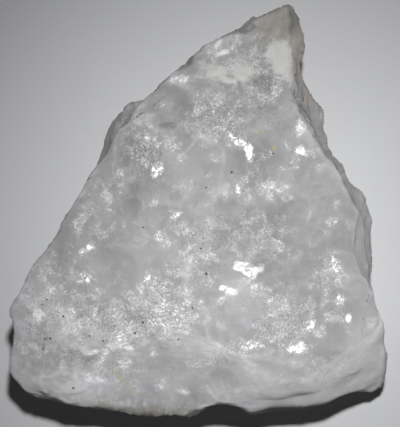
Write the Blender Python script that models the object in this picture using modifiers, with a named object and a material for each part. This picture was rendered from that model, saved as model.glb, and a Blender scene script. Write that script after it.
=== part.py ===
"""A broken lump of massive milky quartz, as one solid.

Three blocks bounded by flat fracture faces are joined: the body, the narrow tip at the far end, and the
brow that overhangs the near face. Rounded knobs stand out of their sides and shell-shaped scoops are
broken out of them. Shallow chips and low lumps then cover the whole skin, and the underside is cut off
flat where the stone rests. Metres, +Z up. The origin is the middle of the stone in plan, at its rest.
"""

import math

import bmesh
import bpy
import numpy as np
from mathutils import Matrix, Vector

MM = 0.001

# Every face, knob and scoop is placed around this point, which lies well inside the stone (mm).
HEART = Vector((0.0, -12.0, 21.0))

# A fracture face: the direction it looks to in plan and how far it leans up (degrees), and its
# distance from the heart (mm).
BODY_FACES = {
    "east high": (29.4, 12, 41.3),
    "east": (12.4, -3, 39.9),
    "corner east": (-3, 9, 48.3),
    "corner south-east": (-36, 12, 55.2),
    "south-east": (-76, 15, 39.6),
    "south": (-86, 10, 37.4),
    "south-west": (-99, -6, 38.5),
    "corner south-west": (-145, -6, 53.0),
    "west low": (180, -4, 46.2),
    "west": (169, -5, 42.8),
    "north-west": (147.5, -5, 32.1),
    "north": (127, -3, 40.2),
    "top": (-8, 83, 21.4),
    "top north": (100, 80, 25.1),
    "top west": (160, 79, 21.4),
    "top south-west": (-138, 66, 29.1),
    "front": (-97, 50, 28.7),
    "corner bevel": (-50, 30, 43.5),
    "shoulder": (84, 60, 36.6),
    "under north-west": (152, -34, 34.0),
    "under north": (112, -32, 45.0),
    "under north-east": (45, -32, 42.5),
    "under east": (6, -33, 42.3),
    "under south-east": (-40, -34, 52.5),
    "under south": (-88, -34, 34.8),
    "under south-west": (-140, -34, 44.0),
    "under west": (178, -36, 38.0),
}
TIP_FACES = {
    "east": (12.4, 20, 34.9),
    "end": (88, 12, 63.3),
    "end east": (49.4, 10, 62.3),
    "end west": (111.5, 5, 51.0),
    "west": (122.3, -3, 42.8),
    "root west": (160, 0, 19.5),
    "top": (96, 68, 30.9),
    "top west": (170, 60, 17.6),
    "root": (-90, 10, -37.5),
    "under": (80, -32, 54.5),
    "under east": (20, -36, 33.5),
    "under west": (136, -36, 37.0),
}
BROW_FACES = {
    "top": (-8, 83, 20.8),
    "front": (-113, 38, 26.6),
    "corner": (-50, 30, 43.7),
    "south-east": (-76, 15, 39.6),
    "east": (8, -3, 39.8),
    "root west": (172, 0, -2.0),
    "root north": (90, 0, -16.0),
    "under": (-80, -50, 16.0),
}

# Knobs that swell out of the sides and scoops broken out of them: centre x, y, z and half sizes (mm).
# The faces that the body is undercut by also cut the knobs, which stand a little proud of them.
KNOB_PROUD = 0.8
KNOBS = {
    "north_west_knob": (-7.2, 9.8, 16.0, 20.4, 20.2, 20.0),
    "east_knob": (36.2, -7.0, 18.0, 7.5, 13.6, 14.0),
    "south_ledge": (-12.8, -40.1, 22.0, 20.0, 11.0, 8.0),
    "south_step": (-5.4, -43.4, 21.0, 8.4, 8.6, 5.0),
    "south_east_lump": (38.6, -32.5, 14.0, 10.6, 12.0, 12.0),
    "south_east_foot": (29.0, -40.0, 16.5, 12.5, 10.4, 9.0),
    "south_west_lump": (-33.2, -35.2, 20.0, 14.5, 12.7, 13.0),
    "north_east_lump": (21.5, 22.8, 17.0, 9.1, 9.1, 14.0),
}
SCOOPS = {
    "tip_scoop": (33.3, 34.4, 24.0, 8.8, 7.6, 18.0),
    "rim_scoop": (37.2, 17.1, 24.0, 6.4, 6.4, 20.0),
    "east_scoop": (61.7, -7.0, 38.0, 25.0, 20.0, 13.0),
    "east_notch": (50.4, -19.1, 28.0, 9.0, 10.0, 22.0),
    "south_notch": (5.6, -53.0, 22.0, 7.0, 6.8, 14.0),
}

# Shallow shell-shaped chips over the whole skin (mm).
CHIP_SEED = 21
CHIP_COUNT = 120
CHIP_RADIUS = (15.0, 60.0)
CHIP_DEPTH = (0.3, 0.95)
CHIP_LOWEST = -0.5          # no chip is centred where the skin faces further down than this
# Low lumps: the sum of a few plane waves (mm).
LUMP_SEED = 11
LUMP_WAVES = 14
LUMP_LENGTH = (9.0, 34.0)
LUMP_HEIGHT = 0.11
LUMP_FADE = 5.0             # lumps and chips fade out over this height above the rest

BLANK = 260.0               # side of the cube that a block is cut from (mm)
BELOW_REST = 1.5            # how far the blocks reach below the rest before the cut (mm)
VOXEL = 1.1                 # mesh size at which the joined blocks are made one skin (mm)
TRIANGLES = 8000


def normal_of(looks_to, lean):
    """Unit vector that looks to an angle in plan and leans up by another."""
    plan, up = math.radians(looks_to), math.radians(lean)
    return Vector((math.cos(plan) * math.cos(up), math.sin(plan) * math.cos(up), math.sin(up)))


def collection(name):
    made = bpy.data.collections.new(name)
    bpy.context.scene.collection.children.link(made)
    return made


def object_from(bm, name, into):
    """An object in metres from a bmesh in millimetres, which is used up."""
    bmesh.ops.scale(bm, vec=(MM, MM, MM), verts=bm.verts)
    bmesh.ops.recalc_face_normals(bm, faces=bm.faces)
    mesh = bpy.data.meshes.new(name)
    bm.to_mesh(mesh)
    bm.free()
    made = bpy.data.objects.new(name, mesh)
    into.objects.link(made)
    return made


def cut_flat(bm, point, normal):
    """Removes what lies beyond a plane and closes the cut with a flat face."""
    bmesh.ops.bisect_plane(bm, geom=bm.verts[:] + bm.edges[:] + bm.faces[:], dist=1e-6,
                           plane_co=point, plane_no=normal, clear_outer=True)
    bmesh.ops.holes_fill(bm, edges=[edge for edge in bm.edges if edge.is_boundary])


def block(name, faces, into):
    """A cube cut back to its fracture faces, and a little below the rest."""
    bm = bmesh.new()
    bmesh.ops.create_cube(bm, size=BLANK, matrix=Matrix.Translation(HEART))
    for looks_to, lean, distance in faces.values():
        normal = normal_of(looks_to, lean)
        cut_flat(bm, HEART + normal * distance, normal)
    cut_flat(bm, Vector((0.0, 0.0, -BELOW_REST)), Vector((0.0, 0.0, -1.0)))
    return object_from(bm, name, into)


def ellipsoid(name, size, into, faces=()):
    """A sphere stretched to three half sizes, and cut back to some faces."""
    bm = bmesh.new()
    place = Matrix.Translation(size[:3]) @ Matrix.Diagonal((*size[3:], 1.0))
    bmesh.ops.create_uvsphere(bm, u_segments=56, v_segments=36, radius=1.0, matrix=place)
    for looks_to, lean, distance in faces:
        normal = normal_of(looks_to, lean)
        cut_flat(bm, HEART + normal * (distance + KNOB_PROUD), normal)
    return object_from(bm, name, into)


def join(stone, other, operation):
    """A Boolean with a helper object, which stays as a wire guide that isn't rendered."""
    other.hide_render = True
    other.display_type = "WIRE"
    boolean = stone.modifiers.new(other.name, "BOOLEAN")
    boolean.operation = operation
    boolean.solver = "EXACT"
    boolean.object = other


def leaving(direction):
    """Where a ray from the heart leaves the blocks and knobs: its length (mm) and the normal there."""
    length, outward = 0.0, direction
    for faces in (BODY_FACES, TIP_FACES, BROW_FACES):
        normals = np.array([normal_of(face[0], face[1]) for face in faces.values()])
        distances = np.array([face[2] for face in faces.values()])
        slope = normals @ direction
        reach = distances / slope
        leaves = np.where(slope > 0, reach, np.inf)
        enters = np.where(slope < 0, reach, 0.0).max()
        if enters < leaves.min() and leaves.min() > length:
            length, outward = leaves.min(), normals[leaves.argmin()]
    for size in KNOBS.values():
        along = direction / size[3:]
        start = (np.array(HEART) - size[:3]) / size[3:]
        square, middle = along @ along, along @ start
        root = middle**2 - square * (start @ start - 1.0)
        reach = (np.sqrt(max(root, 0.0)) - middle) / square
        if root > 0.0 and reach > length:
            away = (start + along * reach) / size[3:]
            length, outward = reach, away / np.linalg.norm(away)
    return length, outward


def chipped(points):
    """Points inside a chip's ball are pushed out of it, into the stone, by no more than its depth."""
    draw = np.random.default_rng(CHIP_SEED)
    for _ in range(CHIP_COUNT):
        direction = draw.normal(size=3) * (1.0, 1.0, 0.6)
        direction /= np.linalg.norm(direction)
        radius = draw.uniform(*CHIP_RADIUS)
        depth = draw.uniform(*CHIP_DEPTH)
        length, outward = leaving(direction)
        if outward[2] < CHIP_LOWEST:
            continue
        centre = np.array(HEART) + direction * length + outward * (radius - depth)
        away = points - centre
        gap = np.linalg.norm(away, axis=1)
        push = np.clip(radius - gap, 0.0, 1.2 * depth) * faded(points)
        points = points + away * (push / gap)[:, None]
    return points


def faded(points):
    return np.clip(points[:, 2] / LUMP_FADE, 0.0, 1.0)


def lumps(points):
    """Height of the low lumps (mm): plane waves of many lengths and headings, added up."""
    draw = np.random.default_rng(LUMP_SEED)
    height = np.zeros(len(points))
    for _ in range(LUMP_WAVES):
        heading = draw.normal(size=3)
        heading /= np.linalg.norm(heading)
        wave = 2.0 * np.pi / draw.uniform(*LUMP_LENGTH)
        height += np.sin(points @ heading * wave + draw.uniform(0.0, 2.0 * np.pi))
    return LUMP_HEIGHT * height * faded(points)


def worn(mesh):
    """Moves the vertices of the skin to the chips and the lumps."""
    count = len(mesh.vertices)
    flat = np.empty(count * 3, np.float32)
    mesh.vertices.foreach_get("co", flat)
    points = chipped(flat.reshape(-1, 3).astype(float) / MM)
    mesh.vertices.foreach_set("co", (points * MM).astype(np.float32).ravel())
    mesh.update()
    mesh.vertex_normals.foreach_get("vector", flat)
    points = points + flat.reshape(-1, 3) * lumps(points)[:, None]
    mesh.vertices.foreach_set("co", (points * MM).astype(np.float32).ravel())
    mesh.update()


def baked(stone):
    """Gives the object the mesh that its modifiers make, and drops them."""
    graph = bpy.context.evaluated_depsgraph_get()
    mesh = bpy.data.meshes.new_from_object(stone.evaluated_get(graph))
    stone.modifiers.clear()
    stone.data = mesh


def seated(stone):
    """Cuts the rest flat and puts the middle of the stone's plan over the origin."""
    bm = bmesh.new()
    bm.from_mesh(stone.data)
    cut_flat(bm, Vector((0.0, 0.0, 0.0)), Vector((0.0, 0.0, -1.0)))
    corners = np.array([vertex.co for vertex in bm.verts])
    middle = (corners.min(axis=0) + corners.max(axis=0)) / 2
    bmesh.ops.translate(bm, vec=(-middle[0], -middle[1], 0.0), verts=bm.verts)
    bmesh.ops.triangulate(bm, faces=bm.faces)
    bmesh.ops.recalc_face_normals(bm, faces=bm.faces)
    bm.to_mesh(stone.data)
    bm.free()


def milky_quartz():
    """Pale lilac-grey, half clear stone with a glassy break."""
    material = bpy.data.materials.new("milky_quartz")
    material.use_nodes = True
    shader = material.node_tree.nodes["Principled BSDF"]
    shader.inputs["Base Color"].default_value = (0.62, 0.61, 0.64, 1.0)
    shader.inputs["Roughness"].default_value = 0.42
    shader.inputs["Metallic"].default_value = 0.0
    shader.inputs["IOR"].default_value = 1.54
    return material


for old in list(bpy.data.objects):
    bpy.data.objects.remove(old)

parts = collection("Quartz")
helpers = collection("Blocks, knobs and scoops")

quartz = block("quartz", BODY_FACES, parts)
join(quartz, block("tip_block", TIP_FACES, helpers), "UNION")
join(quartz, block("brow_block", BROW_FACES, helpers), "UNION")
undercuts = [face for name, face in BODY_FACES.items() if name.startswith("under")]
for knob, size in KNOBS.items():
    join(quartz, ellipsoid(knob, size, helpers, undercuts), "UNION")
for scoop, size in SCOOPS.items():
    join(quartz, ellipsoid(scoop, size, helpers), "DIFFERENCE")

skin = quartz.modifiers.new("one skin", "REMESH")
skin.mode = "VOXEL"
skin.voxel_size = VOXEL * MM
soften = quartz.modifiers.new("soften the edges", "SMOOTH")
soften.factor = 0.5
soften.iterations = 2
baked(quartz)
worn(quartz.data)

lighten = quartz.modifiers.new("fewer faces", "DECIMATE")
lighten.ratio = TRIANGLES / sum(len(face.vertices) - 2 for face in quartz.data.polygons)
baked(quartz)
seated(quartz)
quartz.data.materials.clear()
quartz.data.materials.append(milky_quartz())
quartz.data.shade_smooth()
quartz.data.set_sharp_from_angle(angle=math.radians(32))
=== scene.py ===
"""A hand-sized broken lump of massive milky quartz, on a pale board under one small lamp overhead."""

import math

import bpy
import numpy as np
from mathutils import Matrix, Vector


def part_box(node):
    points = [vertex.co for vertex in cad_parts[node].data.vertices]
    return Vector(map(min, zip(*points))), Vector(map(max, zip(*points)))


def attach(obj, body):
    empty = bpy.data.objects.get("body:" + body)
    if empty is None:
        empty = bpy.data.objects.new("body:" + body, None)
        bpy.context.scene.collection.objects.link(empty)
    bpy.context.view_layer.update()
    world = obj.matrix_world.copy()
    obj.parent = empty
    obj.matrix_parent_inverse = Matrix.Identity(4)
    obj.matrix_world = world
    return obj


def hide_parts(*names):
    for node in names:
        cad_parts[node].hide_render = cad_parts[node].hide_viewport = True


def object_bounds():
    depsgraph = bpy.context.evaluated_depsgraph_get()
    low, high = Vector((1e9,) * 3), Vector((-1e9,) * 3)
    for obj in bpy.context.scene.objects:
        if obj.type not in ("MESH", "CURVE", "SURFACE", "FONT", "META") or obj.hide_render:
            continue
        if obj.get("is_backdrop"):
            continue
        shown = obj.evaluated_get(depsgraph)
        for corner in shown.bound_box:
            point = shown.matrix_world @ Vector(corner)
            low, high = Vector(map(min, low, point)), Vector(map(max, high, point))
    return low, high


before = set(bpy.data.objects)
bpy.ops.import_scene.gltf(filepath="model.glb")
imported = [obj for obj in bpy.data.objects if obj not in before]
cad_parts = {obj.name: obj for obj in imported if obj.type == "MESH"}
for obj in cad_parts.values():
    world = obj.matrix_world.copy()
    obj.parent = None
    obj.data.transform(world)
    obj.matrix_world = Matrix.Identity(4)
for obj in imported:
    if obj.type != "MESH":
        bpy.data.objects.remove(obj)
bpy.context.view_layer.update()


# ---------------------------------------------------------------------------------------------------
# The lump of quartz: one piece of milky, half clear vein quartz, broken out of its vein by blows. Every
# face is a fracture: wide flat breaks meet in blunt edges, shell-shaped chips and grainy zones run over
# them, and thin films of iron stain and clay sit in a few cracks. Nothing on it is cut or polished.
# ---------------------------------------------------------------------------------------------------

MM = 0.001
HEART = np.array((0.0, -12.0, 21.0))        # a point well inside the stone, in mm, as all below

# The stone is three blocks joined: its body, the narrow tip at the north and a brow that overhangs at the
# south. Each of their fracture faces has the direction that it looks to in plan and its lean upwards, in
# degrees, and its distance from the heart.
BODY_FACES = {
    "east high": (29.4, 12, 41.3),
    "east": (12.4, -3, 39.9),
    "corner east": (-3, 9, 48.3),
    "corner south-east": (-36, 12, 55.2),
    "south-east": (-86, 31, 34.6),
    "south": (-86, 10, 38.5),
    "south-west": (-99, -6, 38.5),
    "corner south-west": (-145, -6, 53.0),
    "west low": (180, -4, 46.2),
    "west": (169, -5, 42.8),
    "north-west": (147.5, -5, 32.1),
    "north": (127, -3, 40.2),
    "top": (-8, 83, 21.4),
    "top north": (100, 80, 25.1),
    "top west": (160, 79, 21.4),
    "top south-west": (-138, 66, 29.1),
    "front": (-97, 50, 28.7),
    "corner bevel": (-53, 33, 41.2),
    "shoulder": (84, 60, 36.6),
    "under north-west": (152, -34, 34.0),
    "under north": (112, -32, 45.0),
    "under north-east": (45, -32, 42.5),
    "under east": (6, -33, 42.3),
    "under south-east": (-40, -34, 52.5),
    "under south": (-88, -34, 34.8),
    "under south-west": (-140, -34, 44.0),
    "under west": (178, -36, 38.0),
}
TIP_FACES = {
    "east": (12.4, 20, 34.9),
    "end": (88, 12, 63.3),
    "end east": (49.4, 10, 62.3),
    "end west": (111.5, 5, 51.0),
    "west": (122.3, -3, 42.8),
    "root west": (160, 0, 19.5),
    "top": (96, 68, 30.9),
    "top west": (170, 60, 17.6),
    "root": (-90, 10, -37.5),
    "under": (80, -32, 54.5),
    "under east": (20, -36, 33.5),
    "under west": (136, -36, 37.0),
}
BROW_FACES = {
    "top": (-8, 83, 20.8),
    "front": (-113, 38, 26.6),
    "corner": (-53, 33, 41.3),
    "south-east": (-86, 31, 34.6),
    "east": (8, -3, 39.8),
    "root west": (172, 0, -2.0),
    "root north": (90, 0, -16.0),
    "under": (-80, -50, 16.0),
}
# Knobs that swell out of the sides, and scoops broken out of them: centre, half sizes and blend. A knob
# stands this far proud of the undercut faces at most.
KNOB_PROUD = 0.8
KNOBS = {
    "north-west knob": ((-7.2, 9.8, 16.0), (20.4, 20.2, 20.0), 1.0),
    "east knob": ((36.2, -7.0, 18.0), (7.5, 13.6, 14.0), 1.5),
    "south ledge": ((-12.8, -40.1, 22.0), (20.0, 11.0, 8.0), 1.6),
    "south step": ((-5.4, -43.4, 21.0), (8.4, 8.6, 5.0), 0.8),
    "south-east lump": ((38.6, -32.5, 12.5), (10.6, 12.0, 7.0), 1.5),
    "south-east foot": ((25.5, -40.0, 13.0), (12.5, 10.4, 7.0), 1.5),
    "south-west lump": ((-32.0, -34.6, 22.0), (14.8, 12.9, 15.0), 3.0),
    "north-east lump": ((21.5, 22.8, 17.0), (9.1, 9.1, 14.0), 1.0),
}
SCOOPS = {
    "tip scoop": ((33.3, 34.4, 24.0), (8.8, 7.6, 18.0), 0.8),
    "rim scoop": ((37.2, 17.1, 24.0), (6.4, 6.4, 20.0), 0.8),
    "east scoop": ((61.7, -7.0, 38.0), (25.0, 20.0, 13.0), 0.8),
    "east notch": ((50.4, -19.1, 28.0), (9.0, 10.0, 22.0), 0.8),
    "corner notch": ((39.0, -51.3, 20.0), (8.0, 5.8, 16.0), 0.8),
    "south notch": ((5.6, -53.0, 22.0), (7.0, 6.8, 14.0), 0.8),
}
EDGE_ROUND = 0.4            # how far the edges between fracture faces are worn
REST_ROUND = 0.3
TIP_BLEND = 1.0
BROW_BLEND = 0.7


def normals_of(faces):
    """Unit normals and distances of a table of faces: (cos a cos e, sin a cos e, sin e) for each."""
    table = np.array(list(faces.values()), float)
    plan, up = np.radians(table[:, 0]), np.radians(table[:, 1])
    normals = np.stack((np.cos(plan) * np.cos(up), np.sin(plan) * np.cos(up), np.sin(up)), axis=1)
    return normals, table[:, 2]


def block_gap(points, faces):
    """Height over a block, negative inside: the greatest height over its faces, as a soft maximum,
    which is that height plus a rounding times the logarithm of the summed exponentials."""
    normals, distances = normals_of(faces)
    over = (points - HEART) @ normals.T - distances
    top = over.max(axis=1)
    return top + EDGE_ROUND * np.log(np.exp((over - top[:, None]) / EDGE_ROUND).sum(axis=1))


def ball_gap(points, centre, half_sizes):
    """Height over a stretched ball, negative inside: the scaled length less one, in mm."""
    scaled = (points - centre) / half_sizes
    length = np.linalg.norm(scaled, axis=1)
    slope = np.linalg.norm(scaled / half_sizes, axis=1)
    return (length - 1.0) * length / np.maximum(slope, 1e-6)


def both(first, second, blend):
    """The greater of two heights, with the corner between them rounded over a blend."""
    share = np.clip(0.5 + 0.5 * (first - second) / blend, 0.0, 1.0)
    return second * (1 - share) + first * share + blend * share * (1 - share)


def either(first, second, blend):
    """The lesser of two heights, rounded in the same way."""
    return -both(-first, -second, blend)


UNDERCUTS = {name: face for name, face in BODY_FACES.items() if name.startswith("under")}


def stone_gap(points):
    """Height over the stone: the blocks and knobs joined, the scoops taken out, cut flat at its rest."""
    gap = either(block_gap(points, BODY_FACES), block_gap(points, TIP_FACES), TIP_BLEND)
    gap = either(gap, block_gap(points, BROW_FACES), BROW_BLEND)
    undercut = block_gap(points, UNDERCUTS) - KNOB_PROUD
    for centre, half_sizes, blend in KNOBS.values():
        knob = both(ball_gap(points, centre, half_sizes), undercut, EDGE_ROUND)
        gap = either(gap, knob, blend)
    for centre, half_sizes, blend in SCOOPS.values():
        gap = both(gap, -ball_gap(points, centre, half_sizes), blend)
    return both(gap, -points[:, 2], REST_ROUND)


# The skin is one square sheet of points wrapped round the stone from its top. Its points are aimed
# through a squat drum of about the stone's plan, so that they are spread evenly over the real skin.
SHEET_POINTS = 314
DRUM_REACH_AT = (0, 45, 70, 80, 92, 120, 150, 180, 218, 250, 270, 300, 322, 345, 360)      # degrees
DRUM_REACH = (41, 41, 52, 62, 58, 41, 34, 46, 57, 42, 38, 42, 55, 46, 41)                   # mm
DRUM_PROFILE_AT = (0.0, 0.64, 0.74, 0.94, 1.0)      # along the sheet, from the top to the rest
DRUM_SPREAD = (0.0, 1.0, 1.04, 0.76, 0.15)          # as a share of the reach
DRUM_HEIGHT = (20.0, 16.0, 6.0, -21.0, -21.0)       # above the heart
CAST_FROM, CAST_TO, CAST_STEP = 80.0, 8.0, 2.0      # lengths that are tried along each direction
HALVINGS = 12


def wrapped_directions():
    """Unit directions on a square grid: the square is bent to a disc whose rings are its squares,
    (ring, angle), and the ring runs down the drum's profile, top to rest."""
    side = np.linspace(-1.0, 1.0, SHEET_POINTS)
    first, second = np.meshgrid(side, side, indexing="ij")
    wide = np.abs(first) >= np.abs(second)
    ring = np.where(wide, first, second)
    small = np.where(wide, second, first)
    turn = math.pi / 4 * small / np.where(np.abs(ring) < 1e-12, 1.0, ring)
    angle = np.where(wide, turn, math.pi / 2 - turn) + np.where(ring < 0, math.pi, 0.0)
    ring, angle = np.abs(ring).ravel(), angle.ravel()
    reach = np.interp(np.degrees(angle) % 360, DRUM_REACH_AT, DRUM_REACH)
    spread = reach * np.interp(ring, DRUM_PROFILE_AT, DRUM_SPREAD)
    height = np.interp(ring, DRUM_PROFILE_AT, DRUM_HEIGHT)
    aimed = np.stack((spread * np.cos(angle), spread * np.sin(angle), height), axis=1)
    return aimed / np.linalg.norm(aimed, axis=1, keepdims=True)


def cast(directions):
    """Where each direction from the heart leaves the stone for the last time: the outermost length
    tried that is inside, and then the gap from it to the next one is halved again and again."""
    inner = np.full(len(directions), CAST_STEP)
    for length in np.arange(CAST_FROM, CAST_TO, -CAST_STEP):
        left = np.nonzero(inner <= CAST_STEP)[0]
        inside = stone_gap(HEART + directions[left] * length) < 0
        inner[left[inside]] = length
    outer = inner + CAST_STEP
    for _ in range(HALVINGS):
        middle = (inner + outer) / 2
        inside = stone_gap(HEART + directions * middle[:, None]) < 0
        inner = np.where(inside, middle, inner)
        outer = np.where(inside, outer, middle)
    return HEART + directions * ((inner + outer) / 2)[:, None]


# Broad shell-shaped chips all over, and low lumps.
CHIP_SEED = 21
CHIP_COUNT = 120
CHIP_AIM = (1.0, 1.0, 0.6)  # more of them are aimed at the sides than at the top
CHIP_RADIUS = (15.0, 60.0)
CHIP_DEPTH = (0.3, 0.95)
CHIP_LOWEST = -0.5          # no chip is centred where the skin faces further down than this
LUMP_SEED = 11
LUMP_WAVES = 14
LUMP_LENGTH = (9.0, 34.0)
LUMP_HEIGHT = 0.11
REST_FADE = 5.0             # all wear fades out over this height above the rest


def leaving(direction):
    """Where a ray from the heart leaves the blocks and knobs, its length and the normal there. A block
    is left at the least of its faces' distances over their slopes along the ray, a knob at the greater
    root of the quadratic that sets the scaled length to one, and the longest of these is taken."""
    length, outward = 0.0, direction
    for faces in (BODY_FACES, TIP_FACES, BROW_FACES):
        normals, distances = normals_of(faces)
        slope = normals @ direction
        reach = distances / slope
        leaves = np.where(slope > 0, reach, np.inf)
        enters = np.where(slope < 0, reach, 0.0).max()
        if enters < leaves.min() and leaves.min() > length:
            length, outward = leaves.min(), normals[leaves.argmin()]
    for centre, half_sizes, _ in KNOBS.values():
        along = direction / half_sizes
        start = (HEART - centre) / half_sizes
        square, middle = along @ along, along @ start
        root = middle**2 - square * (start @ start - 1.0)
        reach = (np.sqrt(max(root, 0.0)) - middle) / square
        if root > 0.0 and reach > length:
            away = (start + along * reach) / half_sizes
            length, outward = reach, away / np.linalg.norm(away)
    return length, outward


def rest_fade(points):
    """0 at the rest, 1 from the fade's height on, and a straight rise between them."""
    return np.clip(points[:, 2] / REST_FADE, 0.0, 1.0)


def dished(points, centre, radius, depth, share):
    """Points inside a ball are pushed out of it, into the stone, by no more than 1.2 depths."""
    away = points - centre
    gap = np.linalg.norm(away, axis=1)
    push = np.clip(radius - gap, 0.0, 1.2 * depth) * share
    return points + away * (push / gap)[:, None]


def chipped(points):
    """Balls of random size, each set where a random ray leaves the stone so that it dips in by its
    depth, push the points under it inwards."""
    draw = np.random.default_rng(CHIP_SEED)
    for _ in range(CHIP_COUNT):
        direction = draw.normal(size=3) * CHIP_AIM
        direction /= np.linalg.norm(direction)
        radius = draw.uniform(*CHIP_RADIUS)
        depth = draw.uniform(*CHIP_DEPTH)
        length, outward = leaving(direction)
        if outward[2] < CHIP_LOWEST:
            continue
        centre = HEART + direction * length + outward * (radius - depth)
        points = dished(points, centre, radius, depth, rest_fade(points))
    return points


def lumps(points):
    """Height of the low lumps: plane waves of many lengths and headings, added up."""
    draw = np.random.default_rng(LUMP_SEED)
    height = np.zeros(len(points))
    for _ in range(LUMP_WAVES):
        heading = draw.normal(size=3)
        heading /= np.linalg.norm(heading)
        wave = 2.0 * np.pi / draw.uniform(*LUMP_LENGTH)
        height += np.sin(points @ heading * wave + draw.uniform(0.0, 2.0 * np.pi))
    return LUMP_HEIGHT * height * rest_fade(points)


def outward_of(points):
    """Unit normals of the sheet: the cross product of the steps along its two ways."""
    grid = points.reshape(SHEET_POINTS, SHEET_POINTS, 3)
    across = np.cross(np.gradient(grid, axis=0), np.gradient(grid, axis=1)).reshape(-1, 3)
    return across / np.maximum(np.linalg.norm(across, axis=1, keepdims=True), 1e-12)


def evened(values, rounds):
    """Each point of the sheet takes the average of its four neighbours, several times over."""
    grid = values.reshape(SHEET_POINTS, SHEET_POINTS, -1)
    for _ in range(rounds):
        edged = np.pad(grid, ((1, 1), (1, 1), (0, 0)), mode="edge")
        grid = (edged[:-2, 1:-1] + edged[2:, 1:-1] + edged[1:-1, :-2] + edged[1:-1, 2:]) / 4
    return grid.reshape(values.shape)


FOLD_ROUNDS = 4
FOLDED = 0.35               # a normal and its evened one whose product is less mark a fold


def unfolded(points):
    """Where the sheet turns back on itself, its points are evened out until it lies flat."""
    for _ in range(FOLD_ROUNDS):
        turned = (outward_of(points) * outward_of(evened(points, 6))).sum(axis=1) < FOLDED
        near = evened(turned.astype(float), 3) > 0.02
        points = np.where(near[:, None], evened(points, 6), points)
    return points


def raised(points, height):
    """Each point moves along its normal by its height."""
    return points + outward_of(points) * height[:, None]


# Zones of the break, as long ovals seen from above: centre x, y, half length, half width (mm), turn
# of the length from +X (degrees) and strength. The first are the frosted, grainy breaks.
GRAINY = (
    (-20.5, -26.3, 19.4, 5.7, 0, 0.85), (-8.7, -22.3, 11.4, 5.2, 8, 0.6), (-41.5, -20.5, 4.5, 3.2, 0, 1.0),
    (11.9, -6.9, 14.2, 8.1, 0, 0.35), (19.7, -26.3, 8.1, 8.5, 0, 0.65),
    (3.2, 21.6, 9.5, 6.2, 0, 0.55), (-14.6, 15.6, 5.2, 8.1, 0, 0.6),
    (14.3, 28.2, 6.2, 4.3, 0, 0.5), (-22.2, 1.4, 5.1, 10.7, -20, 0.35),
    (7.9, 37.0, 8.1, 4.7, 20, 0.45), (31.1, -17.5, 3.1, 8.1, 10, 0.6),
    (-21.7, -37.7, 7.1, 6.2, 0, 0.7), (5.5, -34.1, 10.7, 2.6, 15, 0.6),
    (32.8, -38.9, 8.5, 3.4, -25, 0.6), (-33.6, -16.4, 9.5, 5.0, -40, 0.5),
    (14.3, 6.2, 10.8, 5.1, 0, 0.35), (-37.0, -28.0, 8.0, 8.0, 0, 0.8),
    (-1.6, 8.5, 14.2, 9.5, 0, 0.15), (-2.0, -12.0, 7.0, 9.0, 0, 0.45),
)
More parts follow.
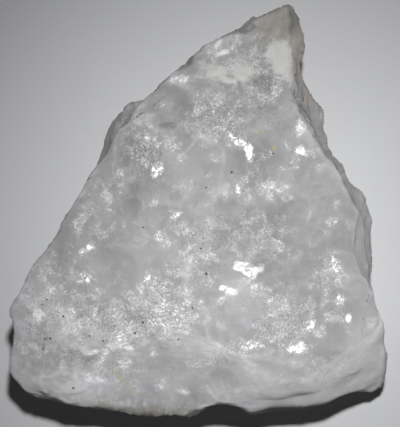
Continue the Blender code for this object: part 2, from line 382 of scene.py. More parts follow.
# Patches of small facets that throw the lamp's light back, and a few wide, glassy facets that do.
GLINTING = (
    (-23.5, -34.5, 1.8, 5.5, -25, 0.9), (-16.8, -32.0, 2.2, 1.0, 0, 0.9), (-9.5, -42.5, 2.0, 1.4, 40, 0.8),
    (-43.1, -20.0, 1.8, 0.8, 0, 0.6), (-28.2, -16.4, 1.6, 2.0, -40, 0.9), (-29.8, -24.2, 2.2, 0.9, 0, 0.7),
    (-26.2, -34.2, 2.6, 1.3, 0, 0.9), (-31.7, -38.9, 1.6, 1.8, 30, 0.5), (-42.6, -32.7, 1.6, 1.2, 0, 0.7),
    (8.0, 17.2, 3.0, 1.0, -47, 0.95), (11.0, 13.6, 2.4, 0.8, -47, 1.1), (9.5, 15.5, 7.0, 2.6, -47, 0.35),
    (14.5, 14.0, 3.4, 1.8, -10, 0.4), (4.8, 19.7, 2.8, 1.4, -20, 0.65), (6.9, 22.0, 2.1, 1.2, 0, 0.65),
    (23.3, 19.9, 1.4, 2.1, 10, 0.9), (24.2, 14.4, 2.1, 1.9, 0, 1.0), (17.4, 29.1, 2.4, 1.9, 0, 0.7),
    (-4.7, 31.5, 2.6, 1.4, 10, 1.0), (-12.3, 17.6, 1.0, 2.4, 20, 0.85), (-10.1, 10.7, 1.9, 1.9, 0, 0.8),
    (-20.1, 8.8, 1.4, 1.4, 0, 0.6), (-22.7, 2.6, 1.9, 1.4, 0, 0.6), (-6.8, 16.6, 2.1, 1.7, 0, 0.7),
    (-28.8, -2.4, 2.1, 1.7, 0, 0.7), (-27.2, -8.8, 2.6, 1.2, 35, 0.9), (-6.8, -0.5, 1.9, 1.0, 35, 0.9),
    (-9.9, -5.9, 2.1, 1.9, 0, 0.7), (-11.8, -16.6, 1.9, 2.1, 0, 0.8), (-39.5, -24.7, 2.1, 2.4, 0, 1.0),
    (-35.5, -19.2, 3.3, 1.7, 0, 0.8), (-30.7, -28.2, 3.3, 1.7, 0, 0.8),
    (-18.9, -31.3, 2.4, 3.3, 40, 0.9), (-17.9, -36.7, 1.9, 2.4, 0, 0.9),
    (-26.0, -41.0, 3.3, 2.1, -25, 0.9), (-11.1, -34.1, 1.2, 1.2, 0, 0.9),
    (-9.2, -27.0, 3.8, 2.1, 0, 0.75), (-2.8, -25.8, 3.3, 2.1, 20, 0.65), (31.6, -13.5, 1.0, 2.6, 15, 0.9),
    (33.5, -20.9, 1.2, 1.7, 0, 0.9), (17.8, -8.1, 2.8, 1.4, -30, 0.7), (25.7, -27.0, 1.9, 2.4, 0, 0.9),
    (23.3, -33.0, 2.1, 1.9, 0, 1.0), (11.4, -31.8, 3.3, 1.9, 0, 0.8), (14.3, -18.3, 3.6, 1.7, -10, 0.5),
    (30.9, -2.9, 2.1, 1.7, 0, 0.7), (15.5, 6.4, 2.4, 1.7, 20, 0.7), (20.2, 2.8, 1.9, 1.2, 0, 0.7),
    (4.8, 40.6, 2.1, 0.7, 62, 1.15), (5.9, 38.0, 2.4, 0.8, 38, 1.15), (9.5, 40.8, 0.8, 1.2, 30, 0.8),
    (35.4, -25.4, 0.9, 1.2, 0, 1.0), (8.4, 5.4, 0.7, 1.4, 0, 1.0), (-3.7, -44.3, 2.1, 1.2, 0, 0.8),
)
MIRROR = (
    (8.7, -13.1, 1.3, 1.1, -12, 1.0), (11.6, -14.2, 2.0, 1.5, -30, 1.0), (14.2, -13.6, 1.1, 1.4, 0, 0.62),
    (4.8, -18.3, 0.9, 0.9, -10, 0.7), (7.3, -19.0, 1.7, 0.9, -18, 0.75),
)
# Clear windows and milky clouds in the stone, and chalk-white crusts on it.
CLEAR = (
    (17.0, -19.5, 4.0, 2.5, 0, 0.7),
    (-16.5, 13.5, 3.0, 3.5, 0, 0.9), (39.5, -5.5, 4.5, 5.0, 0, 1.0), (7.0, 27.0, 8.0, 4.0, 0, 0.5),
    (11.0, 25.1, 13.0, 5.5, -5, 0.8), (10.3, 13.3, 6.0, 7.5, 0, 1.0), (16.2, -4.0, 9.0, 4.5, 0, 1.0),
    (19.7, -12.1, 7.0, 5.0, 0, 0.6), (-13.4, 7.6, 3.5, 7.0, -20, 0.8), (0.8, 2.6, 6.0, 3.0, 0, 0.5),
)
CLOUDED = (
    (-29.5, -30.5, 8.0, 5.0, 0, 2.0), (-27.0, -43.0, 8.0, 4.0, 0, 2.0), (-42.0, -20.5, 4.0, 3.5, 0, 2.4),
    (-44.0, -24.0, 3.5, 9.0, 0, 2.2), (-33.0, -30.0, 6.0, 10.0, 0, 1.6), (-34.0, -38.0, 8.0, 6.0, 0, 1.5),
    (-14.6, -12.1, 12.0, 5.0, 0, 0.8), (-38.3, -21.1, 5.0, 6.0, 0, 1.6), (-26.9, -30.6, 8.0, 6.0, 0, 1.1),
    (-22.9, -1.0, 5.0, 7.0, 0, 0.5), (9.1, -22.1, 5.0, 6.0, 0, 1.4), (20.9, -37.7, 9.0, 3.5, 0, 1.2),
    (-20.5, -18.7, 9.0, 4.0, 0, 0.6), (0.8, -31.8, 6.0, 2.6, 0, 1.0), (-30.0, -36.5, 9.0, 5.0, 0, 0.9),
    (-8.0, -22.0, 16.0, 8.0, 6, 0.3), (5.5, -25.5, 6.0, 5.0, 0, 1.0), (-28.0, -26.0, 14.0, 7.0, 0, 0.6),
    (-2.0, 5.0, 8.0, 9.0, 0, 0.35), (7.0, 32.0, 12.0, 9.0, 20, 0.2), (6.0, 43.0, 8.0, 5.0, 20, 0.5),
    (19.3, 36.9, 4.2, 5.2, 10, 0.5), (-37.0, -34.0, 11.0, 11.0, 0, 1.2), (-20.0, -45.0, 16.0, 5.0, 0, 1.0),
    (40.0, -27.0, 6.0, 10.0, 0, 0.9), (-40.0, -20.0, 6.0, 12.0, 0, 0.7),
)
CHALKY = (
    (19.3, 36.9, 3.2, 4.2, 10, 1.0), (3.6, 33.0, 2.2, 1.8, 0, 0.8), (9.8, 33.2, 2.4, 2.0, 0, 0.9),
    (6.6, 31.4, 2.2, 1.2, 0, 0.8), (0.6, 34.8, 1.5, 1.1, 0, 0.6),
)
# Patches of painted shade in hollows and along the south rim, olive grey where the clearer quartz at the
# tip and the south rim looks dark, earthy and rusty films in cracks, and dark pinpricks.
PAINTED_SHADE = (
    (21.2, 46.2, 2.6, 4.6, -8, 0.75), (14.4, 30.8, 3.4, 1.8, 0, 0.8), (-8.7, 20.4, 2.4, 1.0, 0, 1.0),
    (-13.9, 14.5, 1.6, 1.8, 0, 0.9), (-37.9, -31.2, 1.2, 0.5, 40, 0.8), (-38.8, -33.6, 0.6, 0.9, 0, 0.7),
    (10.8, 43.6, 2.0, 1.1, 20, 1.8), (16.0, 45.0, 3.0, 1.6, 25, 0.45), (6.0, -36.0, 3.0, 1.2, 0, 0.5),
    (7.0, 19.0, 3.0, 1.2, 0, 0.4), (-12.0, -50.7, 12.0, 1.4, -4, 0.8), (-26.0, -36.0, 3.5, 1.6, 40, 0.5),
)
OLIVE_TINTED = (
    (19.5, 46.0, 7.0, 5.0, 10, 1.3), (-12.5, -50.4, 13.0, 2.2, -4, 1.6), (-2.0, -51.0, 6.0, 2.2, 0, 1.2),
)
EARTHY = ((24.2, 38.5, 2.6, 7.5, -6, 1.1), (26.0, 29.5, 2.2, 4.0, 25, 0.9))
RUSTY = (
    (-19.5, -40.2, 3.4, 0.45, -51, 1.0), (-16.6, -44.0, 1.6, 0.5, -35, 0.7),
    (-25.4, -36.8, 0.5, 2.4, 10, 0.4),
)
PEPPERED = (
    (15.0, 34.5, 2.4, 6.0, 0, 1.0), (17.0, 31.0, 4.0, 1.6, 0, 1.0), (2.0, -5.5, 5.0, 5.5, 0, 0.6),
    (-31.5, -35.0, 2.2, 2.2, 0, 1.0), (5.5, -36.0, 3.0, 1.6, 0, 1.0), (-6.5, -32.0, 3.0, 1.2, 0, 0.8),
    (12.0, -14.0, 3.0, 8.0, 0, 0.3), (10.0, 22.0, 12.0, 4.0, 0, 0.35),
)
# Where the relief is rugged, and where it is smooth, freshly broken with no chips or flakes, or in ledges.
RUGGED = (
    (11.0, 38.0, 13.0, 9.0, 20, 0.9), (-28.0, -37.0, 15.0, 8.0, 0, 0.6), (-12.0, -48.0, 24.0, 4.0, 0, 0.8),
    (24.0, 36.0, 3.0, 12.0, 0, 1.2), (33.0, -40.0, 10.0, 4.0, -25, 0.6),
)
SMOOTH = (
    (-3.5, -40.0, 15.0, 6.0, 0, 1.2), (20.0, -46.0, 14.0, 4.0, 8, 1.2), (38.0, -33.0, 10.0, 10.0, 0, 1.2),
    (40.0, -5.0, 4.0, 14.0, 0, 0.8),
)
FRESH = ((24.0, -45.0, 16.0, 7.0, 0, 2.0),)
LEDGED = ((-16.0, -48.0, 26.0, 5.0, 0, 1.0), (25.0, 34.0, 3.5, 13.0, 0, 1.1))


def in_zones(points, zones, squareness=2):
    """The strength in the middle of an oval zone, half of it at its rim and 0 beyond, and the greatest
    of them where zones meet."""
    found = np.zeros(len(points))
    for x, y, half_length, half_width, turn, strength in zones:
        lean = math.radians(turn)
        along = (points[:, 0] - x) * math.cos(lean) + (points[:, 1] - y) * math.sin(lean)
        beside = (points[:, 1] - y) * math.cos(lean) - (points[:, 0] - x) * math.sin(lean)
        far = np.abs(along / half_length)**squareness + np.abs(beside / half_width)**squareness
        far = far**(1 / squareness)
        found = np.maximum(found, strength * np.clip(1.5 - far, 0.0, 1.0))
    return found


def scattered(cells, seed):
    """A number from 0 to 1 for each whole-numbered cell, by mixing the bits of its three indices."""
    cells = cells.astype(np.int64)
    mixed = (cells[:, 0] * 73856093 ^ cells[:, 1] * 19349663 ^ cells[:, 2] * 83492791) + seed * 2654435761
    mixed = (mixed ^ mixed >> 15) * 2246822519 & 0xFFFFFFFF
    mixed = (mixed ^ mixed >> 13) * 3266489917 & 0xFFFFFFFF
    return (mixed ^ mixed >> 16) / 4294967296.0


def soft_noise(points, size, seed):
    """Smooth random field from -1 to 1: the numbers of a cell's eight corners, blended by smoothstep."""
    scaled = points / size
    corner = np.floor(scaled)
    part = scaled - corner
    part = part * part * (3.0 - 2.0 * part)
    total = np.zeros(len(points))
    for offset in np.ndindex(2, 2, 2):
        weight = np.prod(np.where(offset, part, 1.0 - part), axis=1)
        total += weight * scattered(corner + offset, seed)
    return 2.0 * total - 1.0


def grain_faces(points, size, seed):
    """Height of a break that runs through grains: each point takes the plane of its nearest grain's
    middle, which has a random tilt, times its offset from there."""
    scaled = points / size
    home = np.floor(scaled)
    nearest = np.full(len(points), np.inf)
    height = np.zeros(len(points))
    for offset in np.ndindex(3, 3, 3):
        cell = home + offset - 1.0
        middle = np.stack([cell[:, i] + scattered(cell, seed + i) for i in range(3)], axis=1)
        tilt = np.stack([2.0 * scattered(cell, seed + 3 + i) - 1.0 for i in range(3)], axis=1)
        apart = scaled - middle
        far = (apart**2).sum(axis=1)
        closer = far < nearest
        nearest = np.where(closer, far, nearest)
        height = np.where(closer, (apart * tilt).sum(axis=1), height)
    return height * size


# Small shell-shaped flakes, the deepest in the grainy zones, and the grains themselves.
FLAKE_SEED = 5
FLAKE_COUNT = 420
FLAKE_RADIUS = (2.5, 12.0)
FLAKE_DEPTH = (0.08, 0.42)
GRAIN_SIZES = (4.2, 2.1, 1.1)
GRAIN_SLOPES = (0.08, 0.16, 0.16)


def flaked(points, grainy):
    """Balls of random size, each set at a random point of the skin so that it dips in by its depth,
    push the points under it inwards. They dip in less where the break isn't grainy."""
    draw = np.random.default_rng(FLAKE_SEED)
    outward = outward_of(points)
    for _ in range(FLAKE_COUNT):
        spot = draw.integers(len(points))
        radius = draw.uniform(*FLAKE_RADIUS)
        depth = draw.uniform(*FLAKE_DEPTH) * (0.35 + 0.65 * grainy[spot])
        if outward[spot, 2] < CHIP_LOWEST:
            continue
        centre = points[spot] + outward[spot] * (radius - depth)
        points = dished(points, centre, radius, depth, rest_fade(points))
    return points


LEDGE_PITCH = 2.3
LEDGE_DEPTH = 0.42


def ledges(points):
    """Height of thin broken layers: a saw of the height above the rest, which noise makes wavy."""
    level = points[:, 2] + 1.3 * soft_noise(points, 7.0, 60)
    level = level + 0.25 * points[:, 0] * soft_noise(points, 25.0, 61)
    saw = 2.0 * (level / LEDGE_PITCH % 1.0) - 1.0
    return LEDGE_DEPTH * saw * np.clip(0.6 + soft_noise(points, 6.0, 62), 0.0, 1.2) * rest_fade(points)


# The blocks, with their knobs, scoops, chips and lumps.
skin = cast(wrapped_directions())
fresh = np.clip(in_zones(skin, FRESH), 0.0, 1.0)[:, None]
skin = unfolded(skin * fresh + chipped(skin) * (1.0 - fresh))
skin = raised(skin, lumps(skin))

# How the skin leans under its relief: steep at the sides, with painted front light where it also looks
# south or east, and with a painted glow on the steepest southern slopes: the colour is painted lighter on
# all three, for the lamp's light that goes into the stone and comes out again there.
leaning = outward_of(evened(skin, 8))
eastward, northward, upward = leaning.T
to_east = np.clip(eastward, 0.0, 1.0)
facing_up = np.clip(upward * 2.0, 0.0, 1.0)
steep = np.clip((0.97 - upward) / 0.25, 0.0, 1.0)
painted_front_light = steep * np.clip(0.2 - 1.4 * northward + 0.5 * to_east, 0.0, 1.0)
painted_glow = np.clip((0.72 - upward) / 0.3, 0.0, 1.2)
painted_glow *= np.clip(-2.0 * northward - 0.8, 0.08 * to_east, 1.0)

# Which zones each point is in. Their rims wander, and below the outline the break is grainy here and
# there without any zone.
WANDER = 1.2
wander = skin + WANDER * np.stack([soft_noise(skin, 4.0, 40 + i) for i in range(3)], axis=1)
elsewhere = np.clip(soft_noise(skin, 11.0, 50) * 1.6, 0.0, 1.0) * (1.0 - facing_up)
grainy = np.maximum(in_zones(wander, GRAINY) * facing_up, elsewhere)
glinting = in_zones(wander, GLINTING) * facing_up
mirror = in_zones(0.75 * skin + 0.25 * wander, MIRROR, 6) * facing_up
clouded = (in_zones(wander, CLOUDED) - in_zones(wander, CLEAR)) * facing_up
chalky = in_zones(wander, CHALKY) * facing_up
painted_shade = in_zones(wander, PAINTED_SHADE) * facing_up
peppered = in_zones(wander, PEPPERED) * facing_up
# Olive grey: the clearer quartz's own tone in its zones, and painted shade on the sides that don't face
# up.
olive_and_side_shade = np.maximum(in_zones(wander, OLIVE_TINTED), 0.7 * (1.0 - facing_up))
earthy = in_zones(skin, EARTHY)
rusty = in_zones(skin + 0.6 * (wander - skin), RUSTY)
painted_glow *= 1.0 - 0.6 * np.clip(olive_and_side_shade, 0.0, 1.0)
painted_front_light *= 1.0 - 0.6 * np.clip(olive_and_side_shade, 0.0, 1.0)
smooth = np.clip(in_zones(wander, SMOOTH), 0.0, 1.0)
rugged_sides = steep * (0.5 + 0.5 * np.clip(2.0 * northward + eastward, 0.0, 1.0))
rugged = np.maximum(in_zones(wander, RUGGED), np.maximum(0.6 * grainy, rugged_sides))
rugged *= 1.0 - 0.9 * smooth

# The fine relief: flakes, ledges and then grains from the largest to the smallest.
flaky = np.maximum(grainy, 0.6 * steep) * (1.0 - smooth)
skin = unfolded(skin * fresh + flaked(skin, flaky) * (1.0 - fresh))
skin = raised(skin, ledges(skin) * in_zones(skin, LEDGED) * np.maximum(steep, 0.3))
for size, slope in zip(GRAIN_SIZES, GRAIN_SLOPES):
    relief = grain_faces(skin, size, int(size * 10)) * slope * (0.12 + 0.88 * rugged)
    skin = raised(skin, relief * rest_fade(skin))
skin = unfolded(skin)
skin[:, 2] = np.maximum(skin[:, 2], 0.0)
# Painted edge glow: how far each point stands out of its evened neighbourhood, which lightens the colour
# along the convex rims.
painted_edge_glow = np.clip(((skin - evened(skin, 10)) * outward_of(skin)).sum(axis=1) / 0.2 - 0.2, 0.0, 1.0)

# The sheet's rim lies on the rest, and its middle in plan is set over the solid's.
steps = np.arange(SHEET_POINTS - 1)
back = np.arange(SHEET_POINTS - 1, 0, -1)
rim = np.concatenate((steps * SHEET_POINTS, (SHEET_POINTS - 1) * SHEET_POINTS + steps,
                      back * SHEET_POINTS + SHEET_POINTS - 1, back))
skin[rim, 2] = 0.0
low, high = skin.min(axis=0), skin.max(axis=0)
box_low, box_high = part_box("quartz")
to_box = np.array((box_low[0] + box_high[0], box_low[1] + box_high[1])) / 2 / MM
shift = to_box - (low[:2] + high[:2]) / 2
skin[:, :2] += shift

# Squares of the sheet, and a fan of triangles from the middle of the rest that closes its rim and
# faces down.
across, along = np.meshgrid(steps, steps, indexing="ij")
first = (across * SHEET_POINTS + along).ravel()
squares = np.stack((first, first + SHEET_POINTS, first + SHEET_POINTS + 1, first + 1), axis=1)
under_middle = len(skin)
fan = np.stack((rim, np.roll(rim, 1), np.full(len(rim), under_middle)), axis=1)
everything = np.vstack((skin, (*skin[rim].mean(axis=0)[:2], 0.0))) * MM

mesh = bpy.data.meshes.new("quartz_lump")
mesh.from_pydata(everything, [], squares.tolist() + fan.tolist())
mesh.shade_smooth()
zones = {
    "grainy": grainy, "glinting": glinting, "mirror": mirror, "clouded": clouded, "chalky": chalky,
    "painted_shade": painted_shade, "peppered": peppered, "olive_and_side_shade": olive_and_side_shade, "earthy": earthy, "rusty": rusty,
    "steep": steep, "painted_front_light": painted_front_light, "painted_glow": painted_glow, "painted_edge_glow": painted_edge_glow,
}
for name, values in zones.items():
    attribute = mesh.attributes.new(name, "FLOAT", "POINT")
    attribute.data.foreach_set("value", np.append(values, 0.0).astype(np.float32))
lump = bpy.data.objects.new("quartz_lump", mesh)
bpy.context.scene.collection.objects.link(lump)

stone = bpy.data.materials.new("milky_quartz")
stone.use_nodes = True
nodes = stone.node_tree.nodes
shader = nodes["Principled BSDF"]


def stone_node(kind, inputs=(), **settings):
    """A node of the stone's material: settings are its own, and inputs are values or other outputs."""
    made = nodes.new("ShaderNode" + kind)
    for name, value in settings.items():
        setattr(made, name, value)
    for socket, value in dict(inputs).items():
        if isinstance(value, bpy.types.NodeSocket):
            stone.node_tree.links.new(value, made.inputs[socket])
        else:
            made.inputs[socket].default_value = value
    return made


def sum_of(first, second):
    """The sum of two values."""
    return stone_node("Math", {0: first, 1: second}, operation="ADD").outputs[0]


def times(first, second):
    """The product of two values."""
    return stone_node("Math", {0: first, 1: second}, operation="MULTIPLY").outputs[0]


def greater(first, second):
    """The greater of two values."""
    return stone_node("Math", {0: first, 1: second}, operation="MAXIMUM").outputs[0]


def centred(value, strength):
    """A noise from 0 to 1 made to swing about 0, by half its strength each way."""
    return times(sum_of(value, -0.5), strength)


def rising(value, start, end, low=0.0, high=1.0):
    """low up to start and high from end on, with a smooth rise between them."""
    return stone_node("MapRange", {"Value": value, "From Min": start, "From Max": end, "To Min": low,
                                   "To Max": high}, interpolation_type="SMOOTHSTEP").outputs[0]


def zone(name):
    """The strength of a zone, as the skin's points carry it."""
    return stone_node("Attribute", attribute_name=name).outputs["Fac"]


def noise(size, detail=3.0, distortion=0.0):
    """Cloudy noise from 0 to 1 whose features measure about size, in mm."""
    return stone_node("TexNoise", {"Vector": place, "Scale": 1.0 / (size * MM), "Detail": detail,
                                   "Distortion": distortion}).outputs["Fac"]


def mixed(share, first, second):
    """The colour that lies a share of the way from the first to the second."""
    node = stone_node("Mix", {"Factor": share}, data_type="RGBA")
    for socket, value in ((node.inputs[6], first), (node.inputs[7], second)):
        if isinstance(value, bpy.types.NodeSocket):
            stone.node_tree.links.new(value, socket)
        else:
            socket.default_value = (*value, 1.0)
    return node.outputs[2]


def vector(operation, first, second=None, scale=None):
    """The result of a vector operation on one vector, with another or with a scale."""
    node = stone_node("VectorMath", {0: first}, operation=operation)
    for socket, value in ((1, second), ("Scale", scale)):
        if isinstance(value, bpy.types.NodeSocket):
            stone.node_tree.links.new(value, node.inputs[socket])
        elif value is not None:
            node.inputs[socket].default_value = value
    return node.outputs[0]


BODY = 0.335                     # how much of the light the clear grey quartz gives back
LILAC = (1.0, 1.0, 1.02)
WHITE = (0.92, 0.92, 0.94)
SHADOWED = (0.17, 0.165, 0.155)
OLIVE = (0.35, 0.335, 0.295)
CHALK = (0.60, 0.595, 0.575)
EARTH = (0.47, 0.43, 0.39)
RUST = (0.56, 0.53, 0.32)
ORE_BLACK = (0.012, 0.012, 0.012)
RUST_GRAIN = (0.40, 0.37, 0.19)
QUARTZ_IOR = 1.54
SCATTER_LENGTH = 10.0            # mm that light goes inside the stone before it comes out
SCATTER_RATIO = (1.0, 0.97, 0.93)
SPECK_CELL = 0.42                # mm, as the next ones
GRAIN = 0.40
LARGE_GRAIN = 1.2
CRUMPLE = 0.7
BUMP_DEPTH = 0.12
HALFWAY = (0.01, 0.145, 0.989)   # facets that look this way throw the lamp's light straight up
# Grains of black ore and of rust: x, y and radius, in mm.
ORE = (
    (7.1, 9.1, 0.30), (1.1, 5.5, 0.22), (16.9, 13.6, 0.25), (-0.2, -8.9, 0.26), (1.1, -14.9, 0.30),
    (-13.9, -3.9, 0.22), (-38.3, -22.5, 0.2), (-37.1, -21.3, 0.2), (-33.0, -25.2, 0.28),
    (-36.4, -30.7, 0.25), (-13.9, -26.4, 0.3), (-15.8, -29.0, 0.28), (-23.5, -30.9, 0.22),
    (-31.0, -42.8, 0.28), (-26.7, -29.8, 0.22), (-5.5, -30.4, 0.2), (-2.2, -23.0, 0.2),
)
RUST_GRAINS = (
    (14.4, 18.9, 0.38), (13.4, 18.8, 0.25), (12.6, 18.9, 0.2), (17.3, 15.2, 0.42), (17.2, 14.8, 0.4),
)

# Noises of three sizes, and from them how frosted the break is and how much its facets shine.
place = stone_node("TexCoord").outputs["Object"]
broad = noise(9.0, 3.0, 0.6)
patchy = noise(3.0, 4.0, 0.4)
clumped = noise(1.7, 3.0, 0.8)
frost = times(zone("grainy"), rising(patchy, 0.34, 0.60, 0.55, 1.0))
stray = times(rising(patchy, 0.50, 0.70, 0.0, 0.45), rising(zone("clouded"), -0.5, 0.2, 0.15, 1.0))
frost = sum_of(frost, stray)
shine = rising(sum_of(zone("glinting"), centred(clumped, 1.3)), 0.15, 1.15)

# The stone's grains: cells of two sizes, with crumpled edges and a colour of their own for each.
crumple = stone_node("TexNoise", {"Vector": place, "Scale": 900.0}).outputs["Color"]
crumpled = vector("ADD", place, vector("SCALE", crumple, scale=CRUMPLE * MM))
grain = stone_node("TexVoronoi", {"Vector": crumpled, "Scale": 1.0 / (GRAIN * MM)}).outputs["Color"]
large_grain = stone_node("TexVoronoi", {"Vector": crumpled, "Scale": 1.0 / (LARGE_GRAIN * MM)})
large_grain = large_grain.outputs["Color"]
grain_light = stone_node("SeparateColor", {"Color": grain}).outputs[0]

# White specks: in each small cell one, if the cell's own lot is under the density there, the greater of
# the frost's and, in glinting patches, their shine, so that there the specks are painted glints.
density = greater(times(frost, rising(clumped, 0.32, 0.66, 0.45, 0.75)), shine)
cells = stone_node("TexVoronoi", {"Vector": crumpled, "Scale": 1.0 / (SPECK_CELL * MM)})
numbers = stone_node("SeparateColor", {"Color": cells.outputs["Color"]})
lot, bulk = numbers.outputs[0], numbers.outputs[1]
chosen = rising(sum_of(times(density, 0.55), times(lot, -1.0)), 0.0, 0.12, 0.0, 1.0)
specks = times(chosen, rising(sum_of(cells.outputs["Distance"], times(bulk, -0.2)), 0.04, 0.28, 1.0, 0.0))

# White curls and thin wisps between them, and the painted glints: solid white cores of the glinting
# patches.
curls = sum_of(noise(0.46, 4.0, 1.8), sum_of(times(density, 0.09), centred(grain_light, 0.12)))
curls = times(rising(curls, 0.585, 0.645), rising(density, 0.05, 0.40, 0.0, 0.85))
curls = times(curls, rising(clumped, 0.35, 0.65, 0.55, 1.0))
wisps = stone_node("Math", {0: sum_of(noise(0.9, 2.0, 1.6), -0.5)}, operation="ABSOLUTE").outputs[0]
wisps = times(rising(wisps, 0.004, 0.022, 1.0, 0.0), rising(density, 0.1, 0.4, 0.0, 0.8))
painted_glint_core = rising(sum_of(shine, centred(noise(0.7, 3.0, 0.8), 1.3)), 0.74, 1.02)
dots = greater(greater(specks, greater(curls, wisps)), painted_glint_core)

# Small dark specks among the grains, most where the break is frosted or peppered.
finest = sum_of(noise(0.36, 2.0, 0.5), centred(grain_light, 0.14))
dark_specks = sum_of(rising(frost, 0.1, 0.8, 0.05, 0.4), times(zone("peppered"), 0.6))
dark_specks = times(rising(finest, 0.32, 0.42, 1.0, 0.0), dark_specks)

# The colour: a lilac grey that the zones lighten or darken, and then each tint and crust over it.
light = sum_of(centred(broad, 0.08), centred(patchy, 0.13))
light = sum_of(sum_of(light, BODY), times(zone("clouded"), 0.09))
# Painted light: the steep sides, and a little more the fronts that look south or east, are lighter in
# colour than the stone, for the lamp's light that comes through to them.
light = sum_of(light, sum_of(times(zone("painted_front_light"), 0.03), times(zone("steep"), 0.10)))
# Painted glow: the steepest southern slopes are lighter in colour, for light that comes out of the stone
# there.
light = sum_of(light, times(zone("painted_glow"), 0.12))
# Painted glow along the convex rims.
light = sum_of(light, times(zone("painted_edge_glow"), 0.10))
light = times(light, sum_of(times(frost, 0.08), 1.0))
light = times(light, sum_of(times(dark_specks, -1.0), 1.0))
colour = vector("SCALE", LILAC, scale=light)
veined = centred(patchy, 1.2)
# Olive grey, partly the clearer quartz's own tone and partly painted shade on the sides.
colour = mixed(rising(sum_of(zone("olive_and_side_shade"), veined), 0.1, 1.0, 0.0, 0.8), colour, OLIVE)
# Painted shade: the shade patches in the hollows and along the south rim darken towards a shadowed grey.
colour = mixed(rising(sum_of(zone("painted_shade"), veined), 0.2, 1.0, 0.0, 0.8), colour, SHADOWED)
# White: the frost's own white grains, curls and wisps, and painted glints in the glinting patches.
colour = mixed(times(dots, 0.8), colour, WHITE)
chalk_share = sum_of(sum_of(zone("chalky"), veined), centred(finest, 1.1))
colour = mixed(rising(chalk_share, 0.15, 0.75, 0.0, 0.92), colour, CHALK)
colour = mixed(rising(sum_of(zone("earthy"), veined), 0.2, 0.8, 0.0, 0.85), colour, EARTH)
colour = mixed(rising(sum_of(zone("rusty"), veined), 0.3, 0.8, 0.0, 0.7), colour, RUST)
seen_from_above = vector("MULTIPLY", place, (1.0, 1.0, 0.0))
for grains, tint in ((ORE, ORE_BLACK), (RUST_GRAINS, RUST_GRAIN)):
    for x, y, radius in grains:
        middle = ((x + shift[0]) * MM, (y + shift[1]) * MM, 0.0)
        away = stone_node("VectorMath", {0: seen_from_above, 1: middle}, operation="DISTANCE")
        near = rising(away.outputs["Value"], 0.6 * radius * MM, 1.3 * radius * MM, 0.9, 0.0)
        colour = mixed(near, colour, tint)

# The grains' facets tilt at random, and in sparkling and glassy places they lean towards halfway.
level = stone_node("NewGeometry").outputs["Normal"]
wild = sum_of(sum_of(times(frost, 0.32), times(shine, 0.45)), 0.03)
small_tilt = vector("SCALE", vector("SUBTRACT", grain, (0.5, 0.5, 0.5)), scale=wild)
large_tilt = vector("SUBTRACT", large_grain, (0.5, 0.5, 0.5))
large_tilt = vector("SCALE", large_tilt, scale=sum_of(times(frost, 0.15), 0.03))
glass = times(rising(zone("mirror"), 0.3, 0.65), rising(clumped, 0.3, 0.55, 0.5, 1.0))
sparkle = greater(times(specks, rising(shine, 0.1, 0.6)), painted_glint_core)
pull = sum_of(times(sparkle, 5.0), sum_of(times(shine, 0.8), times(glass, 8.0)))
# The slopes with painted glow and painted front light also lean towards halfway, so that the lamp seems to
# light them.
pull = sum_of(pull, sum_of(zone("painted_glow"), times(zone("painted_front_light"), 0.9)))
to_halfway = vector("SCALE", HALFWAY, scale=pull)
tilted = vector("ADD", vector("ADD", vector("ADD", level, small_tilt), large_tilt), to_halfway)
bumped = stone_node("Bump", {"Strength": rising(frost, 0.0, 0.8, 0.25, 0.6), "Distance": BUMP_DEPTH * MM,
                             "Height": noise(0.7, 3.0, 0.8), "Normal": vector("NORMALIZE", tilted)})

links = stone.node_tree.links
links.new(colour, shader.inputs["Base Color"])
rough = rising(sum_of(sum_of(dots, times(sparkle, 0.6)), times(glass, 0.8)), 0.0, 1.0, 0.64, 0.30)
links.new(rough, shader.inputs["Roughness"])
links.new(bumped.outputs[0], shader.inputs["Normal"])
shader.inputs["IOR"].default_value = QUARTZ_IOR
shader.inputs["Subsurface Weight"].default_value = 1.0
shader.inputs["Subsurface Radius"].default_value = SCATTER_RATIO
shader.inputs["Subsurface Scale"].default_value = SCATTER_LENGTH * MM
mesh.materials.append(stone)

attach(lump, "root")
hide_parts("quartz")


# ---------------------------------------------------------------------------------------------------
# The surface that the stone lies on: a wide, matt, pale grey board. It is painted and has no pattern,
# so that only the stone's shadow and the lamp's pool of light show on it.
# ---------------------------------------------------------------------------------------------------

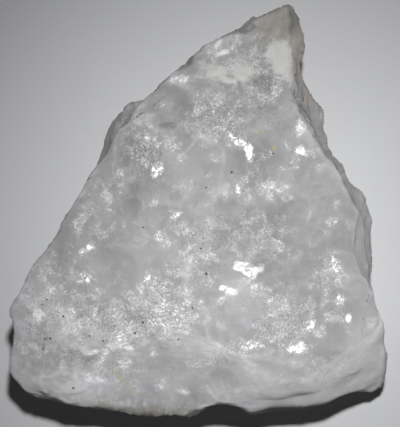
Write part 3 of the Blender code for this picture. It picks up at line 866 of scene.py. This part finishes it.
FLOOR_WIDTH = 4.0               # m
BOARD_GREY = (0.62, 0.625, 0.64, 1.0)
bpy.ops.mesh.primitive_plane_add(size=FLOOR_WIDTH)
floor = bpy.context.object
floor.name = "floor"
board = bpy.data.materials.new("pale_board")
board.use_nodes = True
board_shader = board.node_tree.nodes["Principled BSDF"]
board_shader.inputs["Base Color"].default_value = BOARD_GREY
board_shader.inputs["Roughness"].default_value = 0.7
floor.data.materials.append(board)
floor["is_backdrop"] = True


# ---------------------------------------------------------------------------------------------------
# The light: one small round lamp, as high as the camera and a little north of it, whose beam makes a
# pool on the board, and a weak even light from the room all round.
# ---------------------------------------------------------------------------------------------------

LAMP_PLACE = Vector((9.0, 82.0, 420.0)) * MM
BEAM_CENTRE = Vector((18.0, -20.0, 0.0)) * MM
LAMP_WIDTH = 22.0
BEAM_SPREAD = 38                # degrees
LAMP_POWER = 0.0812             # W
ROOM_LIGHT = 0.033
lamp = bpy.data.objects.new("lamp", bpy.data.lights.new("lamp", "AREA"))
lamp.data.shape = "DISK"
lamp.data.size = LAMP_WIDTH * MM
lamp.data.spread = math.radians(BEAM_SPREAD)
lamp.data.energy = LAMP_POWER
lamp.location = LAMP_PLACE
lamp.rotation_euler = (BEAM_CENTRE - LAMP_PLACE).to_track_quat("-Z", "Y").to_euler()
bpy.context.scene.collection.objects.link(lamp)

world = bpy.data.worlds.new("room")
bpy.context.scene.world = world
world.use_nodes = True
sky = world.node_tree.nodes["Background"]
sky.inputs["Color"].default_value = (0.97, 0.98, 1.0, 1.0)
sky.inputs["Strength"].default_value = ROOM_LIGHT


# ---------------------------------------------------------------------------------------------------
# The camera: straight above the stone, with the tip to the top of the frame. Its lens is worked out
# from what the frame's height spans at the height of the stone's waist.
# ---------------------------------------------------------------------------------------------------

CAMERA_X, CAMERA_Y, CAMERA_HEIGHT = -0.38, -0.62, 420.0
WAIST_HEIGHT = 20.0
PICTURE_ROWS = 427
ROW_SPAN = 0.25                 # mm
VIEW_HEIGHT = PICTURE_ROWS * ROW_SPAN
SENSOR = 36.0
camera = bpy.data.objects.new("camera", bpy.data.cameras.new("camera"))
camera.data.sensor_width = SENSOR
camera.data.lens = SENSOR * (CAMERA_HEIGHT - WAIST_HEIGHT) / VIEW_HEIGHT
camera.location = Vector((CAMERA_X + shift[0], CAMERA_Y + shift[1], CAMERA_HEIGHT)) * MM
camera.data.clip_start = 0.01
bpy.context.scene.collection.objects.link(camera)
bpy.context.scene.camera = camera
bpy.context.scene.view_settings.view_transform = "Standard"

low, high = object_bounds()
